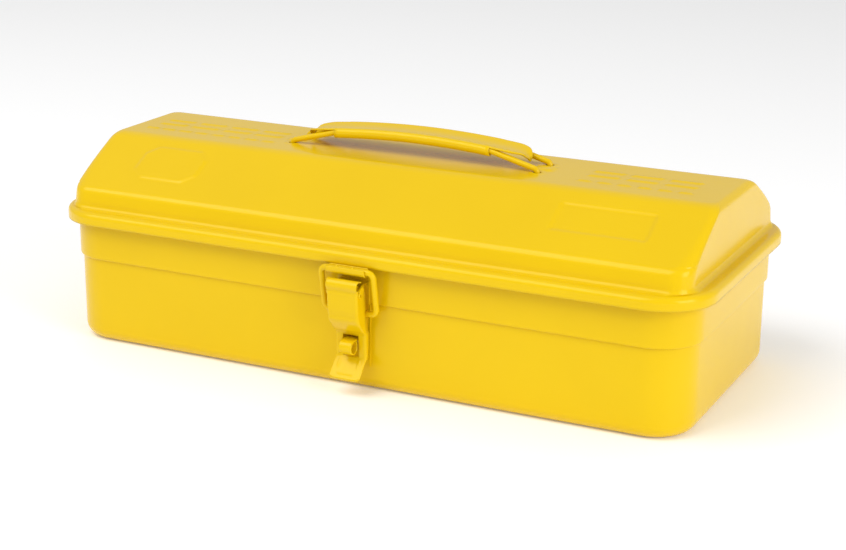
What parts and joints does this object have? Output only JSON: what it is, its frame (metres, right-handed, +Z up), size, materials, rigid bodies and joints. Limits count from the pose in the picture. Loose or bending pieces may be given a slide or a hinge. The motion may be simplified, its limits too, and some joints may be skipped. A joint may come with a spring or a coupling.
{
  "type": "toolbox",
  "caption": "Steel hip-roof toolbox with hinged lid, rising carrying handle, over-centre draw latch with padlock staple, and lift-out tray.",
  "frame": {"origin": "middle of the case's base, on the surface that it stands on", "axes": "+X along the length, -Y towards the latch, +Z up"},
  "size_m": [0.373, 0.1808, 0.1223],
  "materials": {
    "yellow_paint": "glossy paint",
    "tray_paint": "glossy paint",
    "plated_steel": "bright plated"
  },
  "bodies": {
    "box": {"body_shell": "yellow_paint", "left_hinge_body_leaf": "yellow_paint", "right_hinge_body_leaf": "yellow_paint", "left_hinge_pin": "plated_steel", "right_hinge_pin": "plated_steel", "hinge_body_rivets": "yellow_paint", "latch_base_plate": "yellow_paint", "latch_base_rivets": "yellow_paint", "latch_pivot_pin": "yellow_paint", "padlock_staple": "yellow_paint"},
    "lid": {"lid_shell": "yellow_paint", "left_hinge_lid_leaf": "yellow_paint", "right_hinge_lid_leaf": "yellow_paint", "hinge_lid_rivets": "yellow_paint", "left_handle_plate": "yellow_paint", "right_handle_plate": "yellow_paint", "latch_catch": "yellow_paint"},
    "handle": {"handle_grip": "yellow_paint", "left_handle_wire": "yellow_paint", "right_handle_wire": "yellow_paint"},
    "lever": {"latch_lever": "yellow_paint"},
    "bail": {"latch_bail": "yellow_paint"},
    "tray": {"tray_pan": "tray_paint", "left_tray_divider": "tray_paint", "right_tray_divider": "tray_paint", "long_tray_divider": "tray_paint", "left_tray_ear": "tray_paint", "right_tray_ear": "tray_paint", "tray_rivets": "tray_paint"},
    "tray_handle": {"tray_handle": "plated_steel"}
  },
  "joints": [
    {"name": "lid_hinge", "type": "hinge", "parent": "box", "child": "lid", "pos_m": [0, 0.08581, 0.06624], "axis": [-1, 0, 0], "range_deg": [0, 105]},
    {"name": "handle_lift", "type": "slide", "parent": "lid", "child": "handle", "axis": [0, 0, 1], "range_m": [0, 0.015]},
    {"name": "latch_lever", "type": "hinge", "parent": "box", "child": "lever", "pos_m": [0.002, -0.0884, 0.0578], "axis": [-1, 0, 0], "range_deg": [0, 95]},
    {"name": "latch_bail", "type": "hinge", "parent": "lever", "child": "bail", "pos_m": [0.002, -0.082, 0.044], "axis": [1, 0, 0], "range_deg": [0, 152]},
    {"name": "tray_lift", "type": "slide", "parent": "box", "child": "tray", "axis": [0, 0, 1], "range_m": [0, 0.02]},
    {"name": "tray_handle", "type": "hinge", "parent": "tray", "child": "tray_handle", "pos_m": [0, 0, 0.04305], "axis": [-1, 0, 0], "range_deg": [0, 90]}
  ],
  "couplings": [
    {"joint": "latch_bail", "follows": "latch_lever", "ratio": 1.6}
  ]
}
